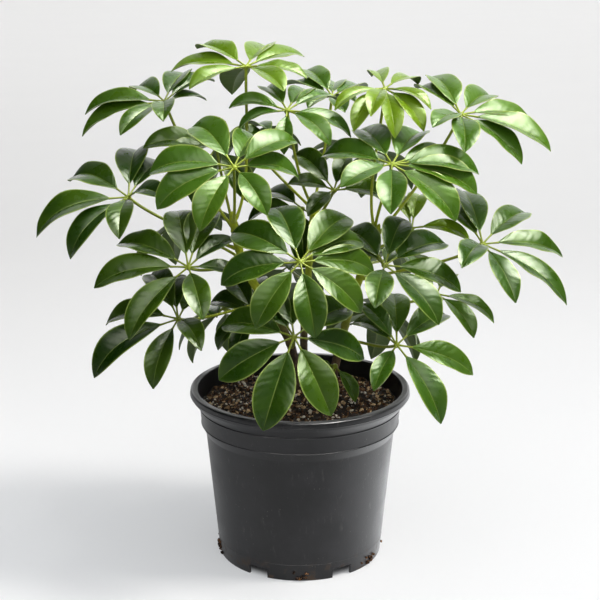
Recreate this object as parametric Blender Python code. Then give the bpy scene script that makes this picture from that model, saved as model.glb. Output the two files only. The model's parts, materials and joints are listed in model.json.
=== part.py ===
"""An umbrella plant (dwarf schefflera) growing in a black plastic nursery pot.

Units are metres, +Z is up, and the origin is on the pot's axis at the level of the pot's feet.
The plant has three woody stems, which stand in holes in the soil, and compound leaves: each has a
petiole, a hub and a whorl of seven to nine leaflets. A leaf is one solid. The leaves of the front half
are set out by how they show from the front, and the others by their place and the way they face.
"""

import math
import random
from typing import NamedTuple

import bmesh
import bpy
from mathutils import Vector

MM = 0.001
UP = Vector((0, 0, 1))

# Pot: a thin moulded shell with a rolled rim, a collar, a raised floor and six feet
FOOT_RADIUS = 0.0838
WALL_TOP = 0.1316
WALL_TOP_RADIUS = 0.0963
COLLAR_FOOT = 0.1400
COLLAR_RADIUS = 0.1006
COLLAR_TOP = 0.1588
COLLAR_TOP_RADIUS = 0.1024
RIM_FOOT = 0.1680
RIM_RADIUS = 0.1118
RIM_WIDTH = 0.0078
RIM_TOP = 0.1768
WALL_THICKNESS = 0.0022
FLOOR_HEIGHT = 0.0100
FLOOR_THICKNESS = 0.0025
POT_SIDES = 48
NOTCHES = 6
NOTCH_WIDTH = 0.0210
NOTCH_HEIGHT = 0.0105
DRAIN_RADIUS = 0.0065
DRAIN_CIRCLE = 0.0520

# Soil
SOIL_EDGE = 0.1590
SOIL_CROWN = 0.0050
SOIL_LUMP = 0.0016
SOIL_RINGS = 5
SOIL_SIDES = 32
GAP = 0.0003

# Stems
STEM_SIDES = 8
STEM_STEPS = 9
STEM_BURIED = 0.050
HOLE_CLEARANCE = 0.0006
HOLE_SIDES = 12

# Leaves
PETIOLE_SIDES = 4
PETIOLE_STEPS = 6
PETIOLE_RADIUS = 0.0016
SHEATH_RADIUS = 0.0022
HUB_RADIUS = 0.0034
STALK_SHARE = 0.16
STALK_RADIUS = 0.0010
ARCH = 0.13
FOLD = 0.34
BLADE_WIDTH = 0.475
BLADE_THICKNESS = 0.0014
BLADE_STATIONS = (0.18, 0.52, 0.82)
BASE_TAPER = 1.00
TIP_TAPER = 0.85
ROLL = 10
DROOP = 20
DROOP_WEIGHT = 0.5
DEPTH_REACH = 100

# Front view: the eye's place, and the point on the pot's axis that it looks at
EYE = Vector((0, -1.288, 0.6216))
AIM = Vector((0, 0, 0.2668))


class Stem(NamedTuple):
    """A stem's points (x, y, z) from the soil up, and its radius at the soil and at the top, in mm."""

    route: tuple
    foot: float
    top: float


class FrontLeaf(NamedTuple):
    """A leaf set out by how it shows from the front. Places and lengths are in mm, angles in degrees."""

    stem: str
    height: float  # share of the way up the stem
    hub: tuple  # across, up, and how much nearer the eye than the pot's axis
    tilt: tuple  # of its face from straight up, towards the viewer and to the right
    length: float  # of a leaflet, from the hub to its tip
    tips: tuple  # across and up, and where it is set, how much nearer the eye than the hub
    arch: float = ARCH
    width: float = BLADE_WIDTH


class BackLeaf(NamedTuple):
    """A leaf set out by its place and the way it faces. Places and lengths are in mm, angles in degrees."""

    stem: str
    height: float  # share of the way up the stem
    hub: tuple  # x, y, z
    bearing: float  # the way it faces, round from +X
    tilt: float  # of its face from straight up
    count: int
    length: float
    arch: float = ARCH
    width: float = BLADE_WIDTH


STEMS = {
    "stem_left": Stem(
        ((-5, 12, 159), (-8, 9, 212), (-28, 2, 254), (-51, -2, 294), (-62, -2, 325), (-66, 0, 350)), 4.6, 3.7),
    "stem_right": Stem(
        ((30, 6, 159), (38, 8, 205), (52, 6, 262), (68, 2, 315), (76, 0, 338)), 4.6, 3.4),
    "stem_back": Stem(
        ((6, 36, 159), (4, 42, 215), (8, 46, 275), (12, 48, 330), (14, 48, 356)), 4.2, 3.0),
}

FRONT_LEAVES = {
    "leaf_upper_left": FrontLeaf(
        "stem_left", 0.93, (-136, 199, -16), (19, -8), 74,
        ((-215, 186), (-218, 164), (-180, 165, 36), (-137, 179, 58), (-94, 200, -34), (-86, 219), (-113, 226),
         (-165, 210)), arch=0.11, width=0.442),
    "leaf_far_left": FrontLeaf(
        "stem_left", 0.78, (-172, 103, 24), (29, -8), 84,
        ((-264, 63), (-230, 41), (-181, 61), (-135, 101, 46), (-130, 133), (-161, 149),
         (-230, 119)), arch=0.16),
    "leaf_mid_left": FrontLeaf(
        "stem_left", 0.97, (-66, 133, 104), (37, 0), 80,
        ((-151, 126), (-143, 91), (-100, 69), (-33, 85), (-1, 120), (-3, 158, -36), (-44, 162), (-108, 173)),
        width=0.503),
    "leaf_top_left": FrontLeaf(
        "stem_left", 1.0, (-54, 234, 24), (18, 0), 74,
        ((-129, 229), (-111, 211, 22), (-68, 206), (-16, 209, 44), (7, 222, 10), (4, 244), (-32, 253),
         (-103, 252)), arch=0.09),
    "leaf_top_centre": FrontLeaf(
        "stem_back", 0.98, (-13, 190, 44), (22, 0), 66,
        ((-71, 192, -8), (-61, 171, 4), (-16, 146, 16), (30, 155), (51, 163), (37, 200), (10, 207),
         (-36, 210)), width=0.445),
    "leaf_top_behind": FrontLeaf(
        "stem_back", 1.0, (32, 204, -46), (10, 0), 64,
        ((-15, 215), (6, 230), (36, 216), (66, 211), (56, 198, 30), (45, 188, 44), (8, 192, 36)), arch=0.09),
    "leaf_top_right": FrontLeaf(
        "stem_right", 1.0, (85, 212, 30), (15, 0), 66,
        ((35, 190, 22), (54, 169), (71, 184), (95, 162), (124, 169), (131, 191, 26), (118, 216),
         (72, 224)), width=0.382),
    "leaf_upper_right": FrontLeaf(
        "stem_right", 0.93, (161, 186, 24), (19, 6), 78,
        ((129, 223), (117, 212), (133, 173, 54), (165, 148), (222, 136), (251, 149), (232, 178), (192, 202)),
        arch=0.10),
    "leaf_mid_right": FrontLeaf(
        "stem_right", 0.97, (92, 136, 78), (28, 0), 80,
        ((22, 143), (41, 113, 30), (91, 86), (156, 79), (177, 106), (159, 139), (179, 126, -24),
         (123, 166), (59, 170)), arch=0.10, width=0.503),
    "leaf_centre_behind": FrontLeaf(
        "stem_back", 0.80, (34, 110, 10), (40, 0), 66,
        ((-7, 145, -32), (-12, 116, 6), (8, 84, 26), (48, 144, -24), (86, 98, -36)), width=0.503),
    "leaf_far_right": FrontLeaf(
        "stem_right", 0.62, (183, 56, 24), (22, 8), 84,
        ((162, 109), (226, 87), (263, 43), (267, -5), (216, -3), (162, 32, 70), (143, 94)),
        arch=0.11, width=0.408),
    "leaf_low_mid_right": FrontLeaf(
        "stem_right", 0.84, (85, 35, 74), (26, 4), 78,
        ((104, 81, -44), (146, 56), (161, 8), (139, -25), (75, -8), (45, 50), (45, 68)),
        arch=0.10, width=0.503),
    "leaf_front": FrontLeaf(
        "stem_back", 0.62, (0, 38, 118), (44, 0), 82,
        ((-79, 15), (-68, 67), (-25, 92), (48, 83), (63, 57), (74, 27), (61, -13), (15, -38), (-44, -28)),
        arch=0.11, width=0.503),
    "leaf_low_mid_left": FrontLeaf(
        "stem_left", 0.66, (-112, 33, 80), (26, -4), 80,
        ((-206, 12), (-183, 55), (-123, 89), (-86, 88), (-63, 59, -38), (-56, 22, 0), (-97, -20),
         (-171, -40)), arch=0.11, width=0.442),
    "leaf_low_left": FrontLeaf(
        "stem_left", 0.46, (-122, -19, 44), (32, -6), 80,
        ((-194, -25), (-206, -78), (-147, -89), (-99, -51, 54), (-150, 25), (-128, 20), (-98, 2)),
        arch=0.15, width=0.408),
    "leaf_front_low": FrontLeaf(
        "stem_left", 0.22, (-6, -37, 112), (44, 0), 84,
        ((-78, -27), (-81, -80), (-37, -131), (31, -116), (64, -59), (50, -8), (-15, 15), (-40, 4)),
        arch=0.09, width=0.503),
    "leaf_low_right": FrontLeaf(
        "stem_right", 0.34, (97, -45, 66), (34, 6), 82,
        ((93, 6), (51, -25), (62, -4, -34), (146, -15), (173, -75), (141, -124), (74, -91)),
        arch=0.11, width=0.408),
    "leaf_right_behind": FrontLeaf(
        "stem_right", 0.48, (137, 6, -12), (18, 6), 66,
        ((194, -23), (174, -38), (128, -15, 48), (112, 28, -18), (150, 22)), width=0.408),
    "leaf_young_right": FrontLeaf(
        "stem_right", 0.76, (112, 72, -14), (26, 0), 60,
        ((170, 59, 4), (121, 104), (98, 100), (84, 60, 58), (98, 44)), arch=0.17, width=0.403),
    "leaf_left_behind": FrontLeaf(
        "stem_left", 0.88, (-84, 153, -8), (36, 0), 70,
        ((-157, 152, 8), (-133, 143, 22), (-108, 98), (-52, 98), (-34, 163, -28), (-75, 179, -6))),
    "leaf_by_soil": FrontLeaf(
        "stem_right", 0.10, (35, -66, 6), (30, 10), 34,
        ((55, -102), (22, -96), (14, -72))),
    "leaf_low_inner": FrontLeaf(
        "stem_left", 0.34, (-46, -14, 2), (36, -10), 60,
        ((-82, -50), (-66, -60), (-90, -4), (-70, 20), (-40, 22))),
    "leaf_inner": FrontLeaf(
        "stem_back", 0.60, (2, 92, -76), (28, -4), 66,
        ((-36, 104), (-52, 78), (-30, 44), (4, 32), (38, 52))),
}

BACK_LEAVES = {
    "leaf_back_left": BackLeaf("stem_left", 0.70, (-128, 92, 330), 145, 32, 7, 78),
    "leaf_back_right": BackLeaf("stem_right", 0.66, (104, 106, 292), 50, 20, 8, 64),
    "leaf_back_centre": BackLeaf("stem_back", 0.48, (-12, 122, 272), 95, 40, 7, 76),
    "leaf_back_top_left": BackLeaf("stem_back", 0.92, (-58, 116, 417), 120, 26, 7, 74),
    "leaf_back_top_right": BackLeaf("stem_back", 0.86, (68, 115, 398), 60, 26, 7, 74),
    "leaf_back_low_left": BackLeaf("stem_back", 0.36, (-82, 94, 232), 130, 42, 7, 76),
    "leaf_back_low_right": BackLeaf("stem_back", 0.44, (84, 96, 228), 50, 42, 7, 76),
}

COLOURS = {
    "pot": ((0.018, 0.018, 0.020, 1), 0.45),
    "soil": ((0.045, 0.028, 0.018, 1), 0.95),
    "stem": ((0.16, 0.12, 0.055, 1), 0.75),
    "leaf": ((0.055, 0.145, 0.028, 1), 0.35),
    "young_leaf": ((0.13, 0.25, 0.045, 1), 0.35),
}
YOUNG_LEAVES = ("leaf_top_right", "leaf_young_right", "leaf_upper_right", "leaf_top_left")


def clear_scene():
    """Empties the scene of its objects."""
    for thing in list(bpy.data.objects):
        bpy.data.objects.remove(thing, do_unlink=True)


def material(name):
    """The named colour and roughness as a Principled BSDF material."""
    found = bpy.data.materials.get(name)
    if found:
        return found
    colour, roughness = COLOURS[name]
    made = bpy.data.materials.new(name)
    made.use_nodes = True
    shader = made.node_tree.nodes["Principled BSDF"]
    shader.inputs["Base Color"].default_value = colour
    shader.inputs["Roughness"].default_value = roughness
    made.diffuse_color = colour
    return made


def add_object(name, mesh, finish=None):
    """Links a mesh into the scene under that name."""
    made = bpy.data.objects.new(name, mesh)
    bpy.context.scene.collection.objects.link(made)
    if finish:
        mesh.materials.clear()
        mesh.materials.append(material(finish))
    return made


def mesh_of(name, points, faces):
    """A mesh from its points and faces."""
    mesh = bpy.data.meshes.new(name)
    mesh.from_pydata(points, [], faces)
    return mesh


def smooth(thing, angle=40):
    """Shades round faces smooth and keeps edges sharper than the angle."""
    thing.data.shade_smooth()
    thing.data.set_sharp_from_angle(angle=math.radians(angle))


def turned(name, profile, sides):
    """A solid turned about Z from a profile of (radius, height), which starts and ends on the axis."""
    points = []
    rings = []
    for radius, height in profile:
        if radius == 0:
            rings.append([len(points)] * sides)
            points.append((0, 0, height))
            continue
        rings.append([len(points) + side for side in range(sides)])
        for side in range(sides):
            angle = 2 * math.pi * side / sides
            points.append((radius * math.cos(angle), radius * math.sin(angle), height))
    faces = []
    for lower, upper in zip(rings, rings[1:]):
        for side in range(sides):
            following = (side + 1) % sides
            face = [lower[side], lower[following], upper[following], upper[side]]
            faces.append(list(dict.fromkeys(face)))
    return mesh_of(name, points, faces)


def cut(thing, cutters, solver="EXACT"):
    """Takes the cutters' shapes out of an object."""
    group = bpy.data.collections.new(thing.name + "_cutters")
    for cutter in cutters:
        group.objects.link(cutter)
    combine(thing, group, "DIFFERENCE", solver)


def combine(thing, group, operation, solver):
    """Applies one Boolean of a collection to an object, and removes the collection with its objects."""
    boolean = thing.modifiers.new("combine", "BOOLEAN")
    boolean.operation = operation
    boolean.operand_type = "COLLECTION"
    boolean.collection = group
    boolean.solver = solver
    bpy.context.view_layer.update()
    graph = bpy.context.evaluated_depsgraph_get()
    result = bpy.data.meshes.new_from_object(thing.evaluated_get(graph))
    drop_flaps(result)
    thing.modifiers.clear()
    thing.data = result
    for used in list(group.objects):
        bpy.data.objects.remove(used, do_unlink=True)
    bpy.data.collections.remove(group)


def drop_flaps(mesh):
    """Takes out pairs of faces that lie back to back on the same points, which enclose nothing."""
    shape = bmesh.new()
    shape.from_mesh(mesh)
    bmesh.ops.triangulate(shape, faces=shape.faces[:])
    first = {}
    flaps = []
    for face in shape.faces:
        corners = frozenset(vertex.index for vertex in face.verts)
        if corners in first:
            flaps += [face, first[corners]]
        first[corners] = face
    bmesh.ops.delete(shape, geom=flaps, context="FACES")
    shape.to_mesh(mesh)
    shape.free()


def box(name, centre, size, turn):
    """A box turned about Z through its centre."""
    shape = bmesh.new()
    bmesh.ops.create_cube(shape, size=1)
    mesh = bpy.data.meshes.new(name)
    shape.to_mesh(mesh)
    shape.free()
    made = bpy.data.objects.new(name, mesh)
    made.scale = size
    made.rotation_euler = (0, 0, turn)
    made.location = centre
    return made


def cylinder(name, centre, radius, depth, sides):
    """An upright cylinder about its centre."""
    shape = bmesh.new()
    bmesh.ops.create_cone(shape, cap_ends=True, segments=sides, radius1=radius, radius2=radius, depth=depth)
    mesh = bpy.data.meshes.new(name)
    shape.to_mesh(mesh)
    shape.free()
    made = bpy.data.objects.new(name, mesh)
    made.location = centre
    return made


def wall_radius(height):
    """Outer radius of the pot's wall and collar at a height."""
    bends = ((0, FOOT_RADIUS), (WALL_TOP, WALL_TOP_RADIUS), (COLLAR_FOOT, COLLAR_RADIUS))
    bends += ((COLLAR_TOP, COLLAR_TOP_RADIUS), (RIM_TOP, COLLAR_TOP_RADIUS + 0.0035))
    for (low, start), (high, end) in zip(bends, bends[1:]):
        if height <= high:
            return start + (end - start) * (height - low) / (high - low)
    return bends[-1][1]


def pot_profile():
    """Half section of the pot, from the underside of its floor outwards, up, over the rim and down inside."""
    inside_floor = FLOOR_HEIGHT + FLOOR_THICKNESS
    rim_inside = RIM_RADIUS - RIM_WIDTH
    return (
        (0, FLOOR_HEIGHT),
        (wall_radius(FLOOR_HEIGHT) - WALL_THICKNESS - 0.001, FLOOR_HEIGHT),
        (FOOT_RADIUS - WALL_THICKNESS - 0.001, 0),
        (FOOT_RADIUS, 0),
        (WALL_TOP_RADIUS, WALL_TOP),
        (COLLAR_RADIUS, COLLAR_FOOT),
        (COLLAR_TOP_RADIUS, COLLAR_TOP),
        (RIM_RADIUS - 0.0018, RIM_FOOT),
        (RIM_RADIUS, RIM_TOP - 0.0045),
        (RIM_RADIUS - 0.0006, RIM_TOP - 0.0010),
        (RIM_RADIUS - 0.0020, RIM_TOP),
        (rim_inside + 0.0008, RIM_TOP),
        (rim_inside, RIM_TOP - 0.0010),
        (COLLAR_TOP_RADIUS - WALL_THICKNESS, COLLAR_TOP),
        (COLLAR_RADIUS - WALL_THICKNESS, COLLAR_FOOT),
        (WALL_TOP_RADIUS - WALL_THICKNESS, WALL_TOP),
        (wall_radius(inside_floor) - WALL_THICKNESS, inside_floor),
        (0, inside_floor),
    )


def make_pot():
    """The pot's shell, with drainage notches between its feet and drain holes in its raised floor."""
    pot = add_object("pot", turned("pot", pot_profile(), POT_SIDES), "pot")
    cutters = []
    for number in range(NOTCHES):
        angle = math.radians(-60 + 360 / NOTCHES * number)
        outward = Vector((math.cos(angle), math.sin(angle), 0))
        size = (0.024, NOTCH_WIDTH, NOTCH_HEIGHT * 2)
        cutters.append(box("notch", outward * FOOT_RADIUS, size, angle))
        place = outward * DRAIN_CIRCLE + UP * FLOOR_HEIGHT
        cutters.append(cylinder("drain", place, DRAIN_RADIUS, FLOOR_HEIGHT, 10))
    cut(pot, cutters)
    smooth(pot)


def soil_height(x, y):
    """Height of the soil's surface: a low crown with small lumps."""
    out = math.hypot(x, y) / COLLAR_TOP_RADIUS
    broad = math.sin(x * 190 + 1.3) * math.sin(y * 170 + 0.4)
    small = math.sin(x * 330) * math.sin(y * 310 + 2.0)
    return SOIL_EDGE + SOIL_CROWN * (1 - out * out) + SOIL_LUMP * (broad + 0.6 * small)


def soil_wall(height):
    """Outer radius of the soil at a height, clear of the pot's inner wall."""
    return wall_radius(height) - WALL_THICKNESS - GAP - 0.0004


def make_soil():
    """The soil that fills the pot, with a hole for each stem."""
    bottom = FLOOR_HEIGHT + FLOOR_THICKNESS + GAP
    top_radius = soil_wall(SOIL_EDGE)
    points = [(0, 0, bottom)]
    rings = [[0] * SOIL_SIDES]
    levels = [(soil_wall(height), height) for height in (bottom, WALL_TOP, COLLAR_FOOT)]
    levels += [(top_radius * (1 - number / SOIL_RINGS), None) for number in range(SOIL_RINGS)]
    for radius, height in levels:
        ring = []
        for side in range(SOIL_SIDES):
            angle = 2 * math.pi * side / SOIL_SIDES
            x = radius * math.cos(angle)
            y = radius * math.sin(angle)
            ring.append(len(points))
            points.append((x, y, soil_height(x, y) if height is None else height))
        rings.append(ring)
    rings.append([len(points)] * SOIL_SIDES)
    points.append((0, 0, soil_height(0, 0)))
    faces = []
    for lower, upper in zip(rings, rings[1:]):
        for side in range(SOIL_SIDES):
            following = (side + 1) % SOIL_SIDES
            face = [lower[side], lower[following], upper[following], upper[side]]
            faces.append(list(dict.fromkeys(face)))
    soil = add_object("soil", mesh_of("soil", points, faces), "soil")
    cutters = []
    for stem in STEMS.values():
        foot = Vector(stem.route[0]) * MM
        floor = foot.z - STEM_BURIED - GAP
        depth = 2 * (foot.z - floor)
        wide = stem.foot * MM + HOLE_CLEARANCE
        cutters.append(cylinder("hole", (foot.x, foot.y, floor + depth / 2), wide, depth, HOLE_SIDES))
    cut(soil, cutters, "MANIFOLD")
    smooth(soil, 60)


def through(route, share):
    """Point at a share of the way along a smooth curve through a route's points."""
    spans = len(route) - 1
    place = min(max(share, 0), 1) * spans
    first = min(int(place), spans - 1)
    t = place - first
    before = route[max(first - 1, 0)]
    start = route[first]
    end = route[first + 1]
    after = route[min(first + 2, spans)]
    cubic = 3 * start - before - 3 * end + after
    square = 2 * before - 5 * start + 4 * end - after
    return start + 0.5 * t * ((end - before) + t * (square + t * cubic))


def ring_at(centre, along, radius, sides, reference=Vector((0.31, -0.95, 0.05))):
    """A ring of points square to a direction."""
    across = along.cross(reference).normalized()
    over = across.cross(along).normalized()
    ring = []
    for side in range(sides):
        angle = 2 * math.pi * side / sides
        ring.append(centre + (across * math.cos(angle) + over * math.sin(angle)) * radius)
    return ring


def tube_mesh(name, rings):
    """A closed tube through rings of points, with flat ends."""
    sides = len(rings[0])
    points = [point for ring in rings for point in ring]
    faces = []
    for number in range(len(rings) - 1):
        low = number * sides
        for side in range(sides):
            following = (side + 1) % sides
            faces.append((low + side, low + sides + side, low + sides + following, low + following))
    faces.append(tuple(range(sides)))
    last = (len(rings) - 1) * sides
    faces.append(tuple(last + side for side in reversed(range(sides))))
    return mesh_of(name, points, faces)


def stem_route(name):
    """A stem's points in metres."""
    return [Vector(point) * MM for point in STEMS[name].route]


def stem_radius(name, share):
    """A stem's radius at a share of its height."""
    stem = STEMS[name]
    return (stem.foot + (stem.top - stem.foot) * share) * MM


def make_stem(name):
    """A woody stem: straight down into its hole in the soil, curved above, with a bud at its tip."""
    route = stem_route(name)
    foot = route[0]
    rings = [ring_at(foot - UP * STEM_BURIED, UP, stem_radius(name, 0), STEM_SIDES)]
    rings.append(ring_at(foot + UP * 0.004, UP, stem_radius(name, 0), STEM_SIDES))
    for step in range(1, STEM_STEPS + 1):
        share = step / STEM_STEPS
        centre = through(route, share)
        along = (through(route, share + 0.02) - through(route, share - 0.02)).normalized()
        rings.append(ring_at(centre, along, stem_radius(name, share), STEM_SIDES))
    rings.append(ring_at(centre + along * 0.007, along, 0.0012, STEM_SIDES))
    stem = add_object(name, tube_mesh(name, rings), "stem")
    smooth(stem, 50)


def view_point(across, up, toward):
    """The point that shows at across and up (mm) from the aim in the front view, and stands toward mm
    nearer the eye than the aim."""
    line = AIM - EYE
    distance = line.length
    ahead = line / distance
    right = Vector((1, 0, 0))
    above = right.cross(ahead)
    plane_point = AIM + (right * across + above * up) * MM
    return EYE + (plane_point - EYE) * (1 - toward * MM / distance)


def front_face(tilt):
    """Unit axis of a front leaf, tilted towards the viewer and to the right by degrees."""
    forward, right = (math.radians(angle) for angle in tilt)
    return Vector((math.sin(right), -math.sin(forward), math.cos(forward) * math.cos(right))).normalized()


def leaflet_tip(hub, leaf, axis, shown):
    """The tip's place behind its spot in the front view. Where the leaf doesn't set its depth, the leaflet is
    nearest its length there and hangs most nearly DROOP degrees below the leaf's own plane."""
    near = leaf.hub[2]
    if len(shown) == 3:
        return view_point(shown[0], shown[1], near + shown[2])
    best = None
    for step in range(-DEPTH_REACH, DEPTH_REACH + 1, 2):
        tip = view_point(*shown, near + step)
        reach = tip - hub
        stretch = reach.length / (leaf.length * MM) - 1
        sag = reach.normalized().dot(axis) + math.sin(math.radians(DROOP))
        misfit = stretch * stretch + DROOP_WEIGHT * sag * sag
        if best is None or misfit < best[0]:
            best = (misfit, tip)
    return best[1]


def front_whorl(leaf):
    """Hub, axis and leaflet tips of a front leaf."""
    hub = view_point(*leaf.hub)
    axis = front_face(leaf.tilt)
    return hub, axis, [leaflet_tip(hub, leaf, axis, shown) for shown in leaf.tips]


def back_whorl(name, leaf):
    """Hub, axis and leaflet tips of a back leaf: a whorl round its axis, shorter towards the stem."""
    draw = random.Random(name)
    hub = Vector(leaf.hub) * MM
    bearing = math.radians(leaf.bearing)
    tilt = math.radians(leaf.tilt)
    outward = Vector((math.cos(bearing), math.sin(bearing), 0))
    axis = UP * math.cos(tilt) + outward * math.sin(tilt)
    ahead = (outward - axis * outward.dot(axis)).normalized()
    beside = axis.cross(ahead)
    tips = []
    for number in range(leaf.count):
        turn = math.radians(360 * (number + 0.5) / leaf.count + draw.uniform(-5, 5))
        droop = math.radians(DROOP + draw.uniform(-6, 12))
        flat = ahead * math.cos(turn) + beside * math.sin(turn)
        reach = leaf.length * MM * (0.88 + 0.12 * math.cos(turn)) * draw.uniform(0.94, 1.04)
        tips.append(hub + (flat * math.cos(droop) - axis * math.sin(droop)) * reach)
    return hub, axis, tips


def blade_half_width(share):
    """Half width of a blade as a share of its largest, at a share of its length from its base."""
    widest = BASE_TAPER / (BASE_TAPER + TIP_TAPER)
    return (share / widest) ** BASE_TAPER * ((1 - share) / (1 - widest)) ** TIP_TAPER


def spine_point(hub, tip, rise, share):
    """Point along a leaflet's arched midrib, at a share of the way from the hub to the tip."""
    return hub + (tip - hub) * share + rise * share * (1 - share * share)


def leaflet_mesh(name, hub, tip, axis, leaf, roll):
    """One leaflet: a short stalk from the hub and an arched blade, folded along its midrib, thick at the
    midrib and sharp at its edges. Both faces are split into the same triangles."""
    reach = tip - hub
    lift = axis + UP * 0.6
    lift = (lift - lift.project(reach)).normalized()
    rise = lift * leaf.arch * 2.6 * reach.length
    half_width = leaf.width * reach.length * (1 - STALK_SHARE) / 2
    sections = [(0.0, STALK_RADIUS, STALK_RADIUS, 0.0), (STALK_SHARE, STALK_RADIUS * 1.4, STALK_RADIUS, 0.0)]
    for station in BLADE_STATIONS:
        half = half_width * blade_half_width(station)
        share = STALK_SHARE + (1 - STALK_SHARE) * station
        sections.append((share, half, BLADE_THICKNESS / 2, FOLD * half))
    points = []
    for share, half, thick, fold in sections:
        centre = spine_point(hub, tip, rise, share)
        behind = spine_point(hub, tip, rise, share - 0.02)
        along = (spine_point(hub, tip, rise, share + 0.02) - behind).normalized()
        level = along.cross(axis).normalized()
        upright = level.cross(along).normalized()
        turn = math.radians(roll) * share
        side = level * math.cos(turn) + upright * math.sin(turn)
        over = upright * math.cos(turn) - level * math.sin(turn)
        points.append(centre - side * half + over * fold)
        points.append(centre + over * thick)
        points.append(centre + side * half + over * fold)
        points.append(centre - over * thick)
    faces = [(0, 3, 2), (0, 2, 1)]
    for ring in range(len(sections) - 1):
        left, top, right, under = range(ring * 4, ring * 4 + 4)
        far_left, far_top, far_right, far_under = range(ring * 4 + 4, ring * 4 + 8)
        faces += [(left, top, far_top), (left, far_top, far_left)]
        faces += [(top, right, far_top), (right, far_right, far_top)]
        faces += [(left, far_left, far_under), (left, far_under, under)]
        faces += [(right, under, far_under), (right, far_under, far_right)]
    left, top, right, under = range(len(points) - 4, len(points))
    end = len(points)
    points.append(tip)
    faces += [(left, top, end), (top, right, end), (left, end, under), (right, under, end)]
    return mesh_of(name, points, faces)


def petiole_points(stem, height, hub, axis):
    """Start on the stem, the way out of it, and the points along the petiole up to the hub."""
    route = stem_route(stem)
    centre = through(route, height)
    along = (through(route, height + 0.02) - through(route, height - 0.02)).normalized()
    outward = hub - centre
    outward = (outward - along * outward.dot(along)).normalized()
    start = centre + outward * (stem_radius(stem, height) + GAP)
    span = (hub - start).length
    direct = (hub - start) / span
    leaving = start + (outward * 0.35 + UP * 0.15 + direct * 0.5) * span * 0.35
    arriving = hub - (axis * 0.4 + direct * 0.6) * span * 0.30
    points = []
    for step in range(PETIOLE_STEPS + 1):
        t = step / PETIOLE_STEPS
        s = 1 - t
        points.append(start * s**3 + leaving * 3 * s * s * t + arriving * 3 * s * t * t + hub * t**3)
    return outward, points


def petiole_mesh(name, stem, height, hub, axis):
    """The petiole, from a small sheath beside the stem to the swollen hub."""
    outward, points = petiole_points(stem, height, hub, axis)
    rings = [ring_at(points[0], outward, SHEATH_RADIUS, PETIOLE_SIDES)]
    for number in range(1, len(points) - 1):
        along = (points[number + 1] - points[number - 1]).normalized()
        rings.append(ring_at(points[number], along, PETIOLE_RADIUS, PETIOLE_SIDES))
    along = (points[-1] - points[-2]).normalized()
    rings.append(ring_at(hub - along * HUB_RADIUS * 1.2, along, PETIOLE_RADIUS, PETIOLE_SIDES))
    rings.append(ring_at(hub, along, HUB_RADIUS, PETIOLE_SIDES))
    rings.append(ring_at(hub + along * HUB_RADIUS * 0.6, along, HUB_RADIUS * 0.5, PETIOLE_SIDES))
    return tube_mesh(name, rings)


def make_leaf(name, leaf, hub, axis, tips):
    """A compound leaf in one solid: its leaflets fused to its petiole at the hub."""
    finish = "young_leaf" if name in YOUNG_LEAVES else "leaf"
    solid = add_object(name, petiole_mesh(name, leaf.stem, leaf.height, hub, axis), finish)
    draw = random.Random(name + "_roll")
    group = bpy.data.collections.new(name + "_leaflets")
    for number, tip in enumerate(tips):
        roll = draw.uniform(-ROLL, ROLL)
        mesh = leaflet_mesh(f"{name}_{number}", hub, tip, axis, leaf, roll)
        group.objects.link(bpy.data.objects.new(mesh.name, mesh))
    combine(solid, group, "UNION", "MANIFOLD")
    solid.data.materials.clear()
    solid.data.materials.append(material(finish))
    smooth(solid)


def main():
    """Builds the whole plant in its pot."""
    clear_scene()
    make_pot()
    make_soil()
    for name in STEMS:
        make_stem(name)
    for name, leaf in FRONT_LEAVES.items():
        make_leaf(name, leaf, *front_whorl(leaf))
    for name, leaf in BACK_LEAVES.items():
        make_leaf(name, leaf, *back_whorl(name, leaf))


main()
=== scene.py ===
"""Looks of an umbrella plant in its black nursery pot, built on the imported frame.

Every leaf, stem, the soil and the pot get a finer piece in the same place, which replaces the frame's
solid. Units are metres, +Z is up, and the origin is on the pot's axis at the level of the pot's feet.
"""

import json
import random
from math import acos, cos, exp, hypot, pi, radians, sin, sqrt
from typing import NamedTuple

import bpy
import numpy as np
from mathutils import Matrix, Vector, noise

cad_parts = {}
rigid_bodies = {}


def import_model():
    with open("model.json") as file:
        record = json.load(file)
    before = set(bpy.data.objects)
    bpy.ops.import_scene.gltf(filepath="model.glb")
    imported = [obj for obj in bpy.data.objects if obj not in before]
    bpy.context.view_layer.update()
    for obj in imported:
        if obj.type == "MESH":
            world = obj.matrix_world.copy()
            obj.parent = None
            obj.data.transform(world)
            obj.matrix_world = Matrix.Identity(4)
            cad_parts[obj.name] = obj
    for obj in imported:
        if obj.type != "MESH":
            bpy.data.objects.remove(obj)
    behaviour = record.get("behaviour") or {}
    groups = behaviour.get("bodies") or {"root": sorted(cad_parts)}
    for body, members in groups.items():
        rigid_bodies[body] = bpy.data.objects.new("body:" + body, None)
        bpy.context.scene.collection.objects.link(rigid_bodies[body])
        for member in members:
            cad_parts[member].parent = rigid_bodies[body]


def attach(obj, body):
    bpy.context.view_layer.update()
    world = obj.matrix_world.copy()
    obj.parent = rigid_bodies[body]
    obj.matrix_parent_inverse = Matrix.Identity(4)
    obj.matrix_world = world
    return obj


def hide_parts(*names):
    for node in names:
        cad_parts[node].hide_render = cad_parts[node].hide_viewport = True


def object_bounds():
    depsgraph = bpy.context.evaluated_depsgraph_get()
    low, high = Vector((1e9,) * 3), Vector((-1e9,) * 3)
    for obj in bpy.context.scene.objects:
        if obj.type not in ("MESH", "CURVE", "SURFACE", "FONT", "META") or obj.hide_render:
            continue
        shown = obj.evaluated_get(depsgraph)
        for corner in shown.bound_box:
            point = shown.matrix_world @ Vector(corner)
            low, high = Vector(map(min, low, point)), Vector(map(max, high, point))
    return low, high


MM = 0.001
UP = Vector((0, 0, 1))

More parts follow.
